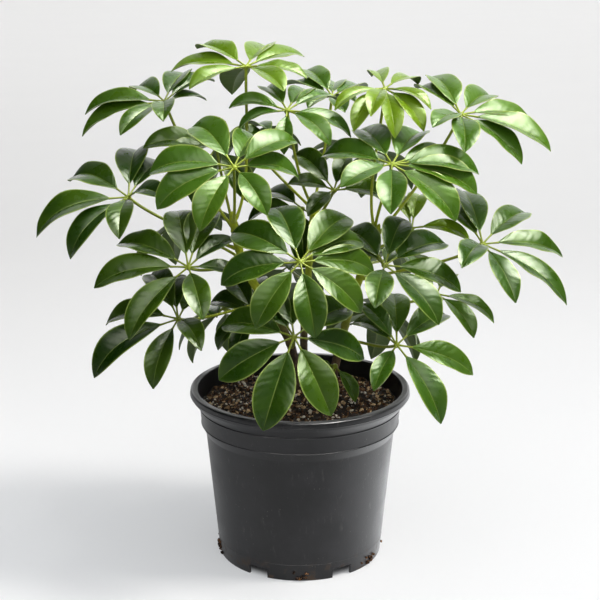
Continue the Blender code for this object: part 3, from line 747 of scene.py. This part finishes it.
def add_leaflet(shape, hub, tip, axis, leaf, roll, draw, tone):
    """Adds one leaflet: a stalk that swells at its ends, and an arched blade, folded along its midrib,
    with waved margins, a groove along the top and a ridge underneath."""
    reach = tip - hub
    lift = axis + UP * 0.6
    lift = (lift - lift.project(reach)).normalized()
    rise = lift * leaf.arch * ARCH_SCALE * reach.length
    sideways = reach.cross(axis).normalized() * draw.uniform(-SWAY, SWAY) * reach.length
    half_width = leaf.width * reach.length * (1 - STALK_SHARE) / 2
    fold = FOLD * draw.uniform(0.75, 1.25)
    lean = draw.uniform(-LOPSIDED, LOPSIDED)
    waves = []
    for _ in range(2):
        waves.append((draw.uniform(0.2, 1.0) * WAVE, draw.uniform(1.3, 2.6), draw.uniform(0, 2 * pi)))

    def spine(share):
        arched = hub + reach * share + rise * share * (1 - share * share)
        return arched + sideways * sin(pi * share) * share

    def frame(share):
        along = (spine(share + 0.01) - spine(share - 0.01)).normalized()
        side = along.cross(axis).normalized()
        over = side.cross(along).normalized()
        level = cos(radians(roll) * share)
        turned = sin(radians(roll) * share)
        return along, side * level + over * turned, over * level - side * turned

    rings = []
    for number in range(STALK_STEPS + 1):
        share = number / STALK_STEPS
        swell = 1 + 0.6 * (1 - share) ** 4 + 0.35 * share ** 5
        place = (STALK_SHARE + 0.02) * share
        rings.append(ring_at(spine(place), frame(place)[0], STALK_RADIUS * STALK_SLIM * swell, STALK_SIDES))
    shares = [0.8 + 0.2 * number / STALK_STEPS for number in range(STALK_STEPS + 1)]
    add_tube(shape, rings, 2, tone, shares)

    count = 2 * len(BLADE_COLUMNS) + 3
    points = []
    places = []
    for number in range(BLADE_STEPS):
        station = (1 - cos(pi * (0.03 + 0.955 * number / (BLADE_STEPS - 1)))) / 2
        share = STALK_SHARE + (1 - STALK_SHARE) * station
        centre = spine(share)
        _, side, over = frame(share)
        half = max(half_width * blade_half_width(station), STALK_RADIUS)
        columns = [min(MIDRIB_HALF / half, 0.22), *BLADE_COLUMNS]
        across = [-value for value in reversed(columns)] + [0] + columns
        top = []
        under = []
        for out in across:
            away = abs(out)
            strength, turns, phase = waves[out > 0]
            height = fold * half * (FOLD_STEEPNESS * away - (FOLD_STEEPNESS - 1) * away * away)
            height += strength * half * away * away * sin(turns * 2 * pi * station + phase)
            width = half * (1 + lean if out > 0 else 1 - lean)
            thick = (MIDDLE_THICKNESS + (EDGE_THICKNESS - MIDDLE_THICKNESS) * away) / 2
            middle = out == 0
            spot = centre + side * width * out + over * height
            top.append(spot + over * (thick - MIDRIB_GROOVE * middle))
            under.append(spot - over * (thick + MIDRIB_RIDGE * (1 - station) * middle))
        points += top + under[::-1]
        places += [(out / 2 + 0.5, station) for out in across + across[::-1]]
    size = 2 * count
    faces = [tuple(reversed(range(size)))] + bands(BLADE_STEPS, size)
    slots = [1] + [int(count <= side < size - 1) for side in range(size)] * BLADE_STEPS
    last = (BLADE_STEPS - 1) * size
    end = len(points)
    points.append(tip)
    places.append((0.5, 1.0))
    for side in range(size):
        faces.append((last + side, last + (side + 1) % size, end))
    shape.add(points, faces, slots, places, tone)


def add_petiole(shape, leaf, hub, axis, tone, draw):
    """Adds the petiole, which clasps the stem with a sheath and ends in a lumpy hub."""
    outward, points = petiole_points(leaf.stem, leaf.height, hub, axis)
    points.insert(0, points[0] - outward * SHEATH_REACH)
    rings = []
    travelled = 0
    for number, point in enumerate(points[:-1]):
        along = (points[number + 1] - points[max(number - 1, 0)]).normalized()
        travelled += (points[number + 1] - point).length
        radius = PETIOLE_RADIUS * PETIOLE_SLIM
        for place, length, wider in SWELLINGS:
            radius *= 1 + wider * exp(-((travelled - place) / length) ** 2)
        rings.append(ring_at(point, along, radius, PETIOLE_SIDES))
    add_tube(shape, rings, 2, tone)
    along = (points[-1] - points[-2]).normalized()
    pole = (along + axis).normalized()
    rings = []
    for level, wide in HUB_LEVELS:
        centre = hub + pole * HUB_RADIUS * level
        ring = ring_at(centre, pole, HUB_RADIUS * wide * HUB_SLIM, PETIOLE_SIDES)
        rings.append([centre + (point - centre) * draw.uniform(0.88, 1.08) for point in ring])
    add_tube(shape, rings, 2, tone, [1.0] * len(HUB_LEVELS))


def make_leaf(name, leaf, hub, axis, tips):
    """Replaces one leaf's solid by its finer leaflets, stalks and petiole."""
    shape = Shape()
    rolls = random.Random(name + "_roll")
    draw = random.Random(name + "_form")
    add_petiole(shape, leaf, hub, axis, (draw.random(), leaf.youth), draw)
    for tip in tips:
        roll = rolls.uniform(-ROLL, ROLL)
        add_leaflet(shape, hub, tip, axis, leaf, roll, draw, (draw.random(), leaf.youth))
    slot = "young_leaf" if leaf.youth >= YOUNG else "leaf"
    shape.build(name + "_fine", LEAF_LOOKS, LEAF_EDGE, slot, name)


def make_stem(name, look):
    """Replaces a stem's solid: round, with leaf scars and a bud of small sheaths at its tip."""
    shape = Shape()
    route = stem_route(name)
    draw = random.Random(name)
    length = sum((b - a).length for a, b in zip(route, route[1:]))
    rings = [ring_at(route[0] - UP * STEM_BURIED, UP, stem_radius(name, 0), FINE_STEM_SIDES)]
    shares = [0.0]
    for step in range(FINE_STEM_STEPS + 1):
        share = step / FINE_STEM_STEPS
        centre = through(route, share)
        along = heading(route, share)
        phase = (share * length / SCAR_SPACING) % 1
        scar = SCAR_HEIGHT * exp(-((phase - 0.5) / SCAR_WIDTH) ** 2)
        ring = []
        for point in ring_at(centre, along, stem_radius(name, share), FINE_STEM_SIDES):
            stand = scar + draw.uniform(-1, 1) * BARK_ROUGHNESS
            ring.append(point + (point - centre).normalized() * stand)
        rings.append(ring)
        shares.append(share)
    for rise, radius in BUD:
        rings.append(ring_at(centre + along * rise, along, stem_radius(name, 1) * radius, FINE_STEM_SIDES))
        shares.append(1.0)
    add_tube(shape, rings, 0, (0.5, 0.6), shares)
    shape.build(name + "_fine", [look], STEM_EDGE, "stem", name)


def wall_radius(height):
    """Outer radius of the pot's wall and collar at a height."""
    bends = ((0, FOOT_RADIUS), (WALL_TOP, WALL_TOP_RADIUS), (COLLAR_FOOT, COLLAR_RADIUS))
    bends += ((COLLAR_TOP, COLLAR_TOP_RADIUS), (RIM_TOP, COLLAR_TOP_RADIUS + 0.0035))
    for (low, start), (high, end) in zip(bends, bends[1:]):
        if height <= high:
            return start + (end - start) * (height - low) / (high - low)
    return bends[-1][1]


def pot_profile():
    """Half section of the pot, from the underside of its floor outwards, up, over the rim and down inside."""
    inside_floor = FLOOR_HEIGHT + FLOOR_THICKNESS
    rim_inside = RIM_RADIUS - RIM_WIDTH
    return (
        (0, FLOOR_HEIGHT),
        (wall_radius(FLOOR_HEIGHT) - WALL_THICKNESS - FOOT_EXTRA, FLOOR_HEIGHT),
        (FOOT_RADIUS - WALL_THICKNESS - FOOT_EXTRA, 0),
        (FOOT_RADIUS, 0),
        (WALL_TOP_RADIUS, WALL_TOP),
        (COLLAR_RADIUS, COLLAR_FOOT),
        (COLLAR_TOP_RADIUS, COLLAR_TOP),
        (RIM_RADIUS - 0.0018, RIM_FOOT),
        (RIM_RADIUS, RIM_TOP - 0.0045),
        (RIM_RADIUS - 0.0006, RIM_TOP - 0.0010),
        (RIM_RADIUS - 0.0020, RIM_TOP),
        (rim_inside + 0.0008, RIM_TOP),
        (rim_inside, RIM_TOP - 0.0010),
        (COLLAR_TOP_RADIUS - WALL_THICKNESS, COLLAR_TOP),
        (COLLAR_RADIUS - WALL_THICKNESS, COLLAR_FOOT),
        (WALL_TOP_RADIUS - WALL_THICKNESS, WALL_TOP),
        (wall_radius(inside_floor) - WALL_THICKNESS, inside_floor),
        (0, inside_floor),
    )


def radius_between(lower, upper, level):
    """Radius at a level on the line between two points of a profile."""
    return lower[0] + (upper[0] - lower[0]) * (level - lower[1]) / (upper[1] - lower[1])


def beaded(profile):
    """A profile with fine ridges that stand out of its outer side at the BEADS' heights."""
    points = list(profile)
    for height, stand in BEADS:
        for place, (lower, upper) in enumerate(zip(points, points[1:])):
            if lower[1] < height - stand and upper[1] > height + stand:
                ridge = []
                for rise, out in ((-stand, 0), (0, stand), (stand, 0)):
                    ridge.append((radius_between(lower, upper, height + rise) + out, height + rise))
                points[place + 1:place + 1] = ridge
                break
    return points


def rounded(profile):
    """A profile with each clear corner rounded off."""
    points = [profile[0]]
    for before, corner, after in zip(profile, profile[1:], profile[2:]):
        a, b, c = (np.array(point, float) for point in (before, corner, after))
        into = np.linalg.norm(b - a)
        out = np.linalg.norm(c - b)
        bend = acos(max(-1, min(1, float((b - a) @ (c - b)) / (into * out))))
        if bend < radians(6):
            points.append(tuple(b))
            continue
        cut = min(CORNER, into * 0.42, out * 0.42)
        start = b - (b - a) / into * cut
        end = b + (c - b) / out * cut
        for number in range(5):
            t = number / 4
            points.append(tuple(start * (1 - t) ** 2 + b * 2 * t * (1 - t) + end * t * t))
    points.append(profile[-1])
    return points


def turned_round(levels, sides):
    """Points and faces of a solid turned round the pot's axis, from the radius and height of each level.
    A height can be a function of x and y."""
    points = []
    rings = []
    for radius, height in levels:
        count = sides if radius else 1
        rings.append([len(points) + side % count for side in range(sides)])
        for side in range(count):
            angle = 2 * pi * side / sides
            x = radius * cos(angle)
            y = radius * sin(angle)
            points.append((x, y, height(x, y) if callable(height) else height))
    faces = []
    for lower, upper in zip(rings, rings[1:]):
        for side in range(sides):
            following = (side + 1) % sides
            face = [lower[side], lower[following], upper[following], upper[side]]
            faces.append(list(dict.fromkeys(face)))
    return points, faces


def make_pot(look):
    """Replaces the pot's solid by a rounder one, with its notches and drain holes."""
    shape = Shape()
    shape.add_plain(*turned_round(rounded(beaded(pot_profile())), FINE_POT_SIDES), 0, 0)
    pot = shape.build("pot_fine", [look], HARD_EDGE, "pot", "pot")
    group = bpy.data.collections.new("pot_cutters")
    for number in range(NOTCHES):
        angle = radians(FIRST_NOTCH + 360 / NOTCHES * number)
        outward = Vector((cos(angle), sin(angle), 0))
        bpy.ops.mesh.primitive_cube_add(size=1, location=outward * FOOT_RADIUS, rotation=(0, 0, angle))
        notch = bpy.context.object
        notch.scale = (NOTCH_DEPTH, NOTCH_WIDTH, NOTCH_HEIGHT * 2)
        group.objects.link(notch)
        place = outward * DRAIN_CIRCLE + UP * FLOOR_HEIGHT
        bpy.ops.mesh.primitive_cylinder_add(
            vertices=32, radius=DRAIN_RADIUS, depth=FLOOR_HEIGHT, location=place)
        group.objects.link(bpy.context.object)
    boolean = pot.modifiers.new("openings", "BOOLEAN")
    boolean.operation = "DIFFERENCE"
    boolean.operand_type = "COLLECTION"
    boolean.collection = group
    graph = bpy.context.evaluated_depsgraph_get()
    pot.data = bpy.data.meshes.new_from_object(pot.evaluated_get(graph))
    pot.modifiers.clear()
    for cutter in list(group.objects):
        bpy.data.objects.remove(cutter, do_unlink=True)
    bpy.data.collections.remove(group)
    pot.data.set_sharp_from_angle(angle=radians(HARD_EDGE))


def ground_height(x, y):
    """Height of the soil's surface: the frame's low crown and lumps, with clods and grit on them."""
    out = hypot(x, y) / COLLAR_TOP_RADIUS
    broad = sin(x * 190 + 1.3) * sin(y * 170 + 0.4)
    small = sin(x * 330) * sin(y * 310 + 2.0)
    grit = noise.fractal(Vector((x * 90, y * 90, 4.0)), 0.9, 2.1, 4) * CLOD
    return SOIL_EDGE + SOIL_CROWN * (1 - out * out) + SOIL_LUMP * (broad + 0.6 * small) + grit


def soil_wall(height):
    """Outer radius of the soil at a height, clear of the pot's inner wall."""
    return wall_radius(height) - WALL_THICKNESS - GAP - SOIL_CLEARANCE


def lump(draw, centre, size, flatness):
    """Points and faces of a rough little lump: a jittered octahedron with its edges split."""
    axes = [Vector(axis) for axis in ((1, 0, 0), (-1, 0, 0), (0, 1, 0), (0, -1, 0), (0, 0, 1), (0, 0, -1))]
    faces = []
    points = list(axes)
    middles = {}
    for x in (0, 1):
        for y in (2, 3):
            for z in (4, 5):
                corners = (x, y, z) if (x + y + z) % 2 == 0 else (x, z, y)
                mids = []
                for a, b in zip(corners, corners[1:] + corners[:1]):
                    key = (min(a, b), max(a, b))
                    if key not in middles:
                        middles[key] = len(points)
                        points.append((axes[a] + axes[b]).normalized())
                    mids.append(middles[key])
                a, b, c = corners
                ab, bc, ca = mids
                faces += [(a, ab, ca), (ab, b, bc), (ca, bc, c), (ab, bc, ca)]
    turn = Vector([draw.uniform(-1, 1) for _ in range(3)]).normalized()
    spin = turn.cross(UP).normalized()
    lean = spin.cross(turn)
    spots = []
    for point in points:
        point = point * draw.uniform(0.72, 1.12)
        stretched = turn * point.x * draw.uniform(0.9, 1.25) + spin * point.y + lean * point.z * flatness
        spots.append(centre + stretched * size)
    return spots, faces


def make_soil(looks):
    """Replaces the soil's solid: clods and grit, with crumbs, bark and perlite strewn over it."""
    shape = Shape()
    bottom = FLOOR_HEIGHT + FLOOR_THICKNESS + GAP
    top_radius = soil_wall(SOIL_EDGE)
    levels = [(0, bottom)]
    levels += [(soil_wall(height), height) for height in (bottom, WALL_TOP, COLLAR_FOOT)]
    for number in range(FINE_SOIL_RINGS + 1):
        levels.append((top_radius * (1 - number / FINE_SOIL_RINGS), ground_height))
    shape.add_plain(*turned_round(levels, FINE_SOIL_SIDES), 0, 0.3)
    draw = random.Random("soil")
    feet = [(Vector(stem.route[0]) * MM, stem.foot * MM) for stem in STEMS.values()]
    for count, slot, small, large, flatness in (CRUMBS, BARK, PERLITE):
        for _ in range(count):
            radius = (top_radius - BARE_MARGIN) * sqrt(draw.random())
            angle = draw.uniform(0, 2 * pi)
            x = radius * cos(angle)
            y = radius * sin(angle)
            size = small + (large - small) * draw.random() ** 2
            if any(hypot(x - foot.x, y - foot.y) < wide + size for foot, wide in feet):
                continue
            centre = Vector((x, y, ground_height(x, y) + size * 0.3))
            shape.add_plain(*lump(draw, centre, size, flatness), slot, draw.random())
    shape.build("soil_fine", looks, HARD_EDGE, "soil", "soil")


def make_foot_crumbs(look):
    """Crumbs of earth that stick to the pot's feet."""
    shape = Shape()
    _, _, small, large, flatness = CRUMBS
    draw = random.Random("foot crumbs")
    for _ in range(FOOT_CRUMBS):
        angle = radians(draw.choice(FOOT_CRUMB_BEARINGS) + draw.gauss(0, 3))
        height = abs(draw.gauss(0, 0.0045)) + 0.0010
        size = draw.uniform(small, large)
        radius = wall_radius(height) + size * 0.35
        centre = Vector((radius * cos(angle), radius * sin(angle), max(height, size * 1.3)))
        shape.add_plain(*lump(draw, centre, size, flatness), 0, draw.random())
    shape.build("foot_crumbs", [look], HARD_EDGE, "soil")


def make_floor():
    """A wide pale floor that glows as painted light: brighter towards the front, darker far off on the left
    and under the pot as painted shade, and with a painted glow that only shiny surfaces see, which the pot
    mirrors mostly on its right.
    """
    bpy.ops.mesh.primitive_circle_add(vertices=96, radius=30, fill_type="NGON", location=(0, 0, -0.0002))
    floor = bpy.context.object
    floor.name = "floor"
    look = Look("floor")
    path = look.node("ShaderNodeLightPath", {}).outputs
    x, y, _ = look.node("ShaderNodeSeparateXYZ", {0: look.surface}).outputs
    apart = look.node("ShaderNodeVectorMath", {0: look.surface}, operation="LENGTH").outputs["Value"]
    pale = look.mix(look.noise(3.0), rgb(0.527, 0.527, 0.533), rgb(0.547, 0.547, 0.551))
    look.coat(look.mix(path["Is Camera Ray"], rgb(0.26, 0.26, 0.26), pale), 0.9)
    look.shader.inputs["Specular IOR Level"].default_value = 0.1
    look.shader.inputs["Emission Color"].default_value = rgb(0.96, 0.98, 1.0)
    # Painted reflection: for shiny surfaces only, the floor glows round the pot, mostly on its right and less
    # far from it.
    front = look.times(y, -1.0)
    turned = look.math("ARCTAN2", look.math("ABSOLUTE", x), front)
    right = look.step(x, -0.05, 0.10, 0.15, 1.0)
    painted_glow = look.times(look.step(turned, 0.2, 2.0, 0.0, 1.7), right)
    near = look.step(apart, 0.10, 0.45, 0.85, 0.55)
    painted_glow = look.times(look.times(look.math("ADD", painted_glow, 0.18), near), path["Is Glossy Ray"])
    # Painted light: to the eye the floor glows, brighter towards the front, with painted shade further off on
    # the left.
    rising = look.step(y, -0.1, 0.8, 0.0, 0.10)
    falling = look.step(y, 1.0, 6.0, 0.0, 0.05)
    slant = look.math("DIVIDE", x, look.math("ADD", y, 1.5))
    left = look.times(look.math("SUBTRACT", rising, falling), look.step(slant, -0.24, 0.02, 0.75, 0.0))
    lift = look.math("SUBTRACT", look.step(y, -0.2, 1.6, 0.366, 0.146), left)
    # Painted shade under the pot: the glow stops within the pot's feet.
    lift = look.times(lift, look.step(apart, 0.070, 0.084))
    painted_glow = look.math("MULTIPLY_ADD", path["Is Camera Ray"], lift, painted_glow)
    look.join(look.shader.inputs["Emission Strength"], painted_glow)
    floor.data.materials.append(look.material)


def make_skies():
    """Soft light from all round, and the skies that only shiny surfaces mirror."""
    world = bpy.data.worlds.new("studio")
    bpy.context.scene.world = world
    tree = Tree(world)
    way = tree.node("ShaderNodeTexCoord", {}).outputs["Generated"]
    skies = []
    for direction, low, high, least, most, tint in SKIES:
        toward = tree.node("ShaderNodeVectorMath", {0: way, 1: direction}, operation="DOT_PRODUCT")
        strength = tree.step(toward.outputs["Value"], low, high, least, most)
        skies.append(tree.node("ShaderNodeBackground", {"Color": tint, "Strength": strength}).outputs[0])
    mirrored = skies[1]
    for sky in skies[2:]:
        mirrored = tree.node("ShaderNodeAddShader", {0: mirrored, 1: sky}).outputs[0]
    glossy = tree.node("ShaderNodeLightPath", {}).outputs["Is Glossy Ray"]
    mixed = tree.node("ShaderNodeMixShader", {0: glossy, 1: skies[0], 2: mirrored}).outputs[0]
    tree.join(tree.nodes["World Output"].inputs["Surface"], mixed)
    tree.nodes.remove(tree.nodes["Background"])


def make_key():
    """A soft key light, high on the right, that shiny surfaces don't mirror."""
    lamp = bpy.data.lights.new("key", "SUN")
    lamp.angle = radians(15)
    lamp.energy = 2.2
    lamp.color = (1.0, 0.97, 0.92)
    key = placed("key", lamp)
    key.rotation_euler = Vector((3.10, -0.35, 3.65)).to_track_quat("Z", "Y").to_euler()
    key.visible_glossy = False


def make_camera():
    """The camera of the front view, and plain colours."""
    lens = bpy.data.cameras.new("camera")
    lens.lens = 80
    lens.sensor_width = 36
    camera = placed("camera", lens)
    camera.location = EYE
    camera.rotation_euler = (AIM - EYE).to_track_quat("-Z", "Y").to_euler()
    bpy.context.scene.camera = camera
    bpy.context.scene.view_settings.view_transform = "Standard"


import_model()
CAD_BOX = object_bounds()
LEAF_LOOKS = [blade_top(), blade_under(), stalk_green()]
CRUMB_LOOK = earth("crumbs", rgb(0.012, 0.006, 0.003), rgb(0.19, 0.088, 0.036), 500.0, 0.95)
make_pot(pot_plastic())
make_soil([
    earth("soil_dark", rgb(0.006, 0.004, 0.003), rgb(0.045, 0.027, 0.016), 420.0, 0.96),
    CRUMB_LOOK,
    earth("bark_flakes", rgb(0.11, 0.048, 0.018), rgb(0.95, 0.68, 0.38), 300.0, 0.85),
    earth("perlite", rgb(0.78, 0.68, 0.54), rgb(0.97, 0.93, 0.85), 700.0, 0.9),
])
make_foot_crumbs(CRUMB_LOOK)
STEM_LOOK = stem_bark()
for stem_name in STEMS:
    make_stem(stem_name, STEM_LOOK)
for leaf_name, leaf_row in FRONT_LEAVES.items():
    make_leaf(leaf_name, leaf_row, *front_whorl(leaf_row))
for leaf_name, leaf_row in BACK_LEAVES.items():
    make_leaf(leaf_name, leaf_row, *back_whorl(leaf_name, leaf_row))
make_floor()
make_skies()
make_key()
make_camera()
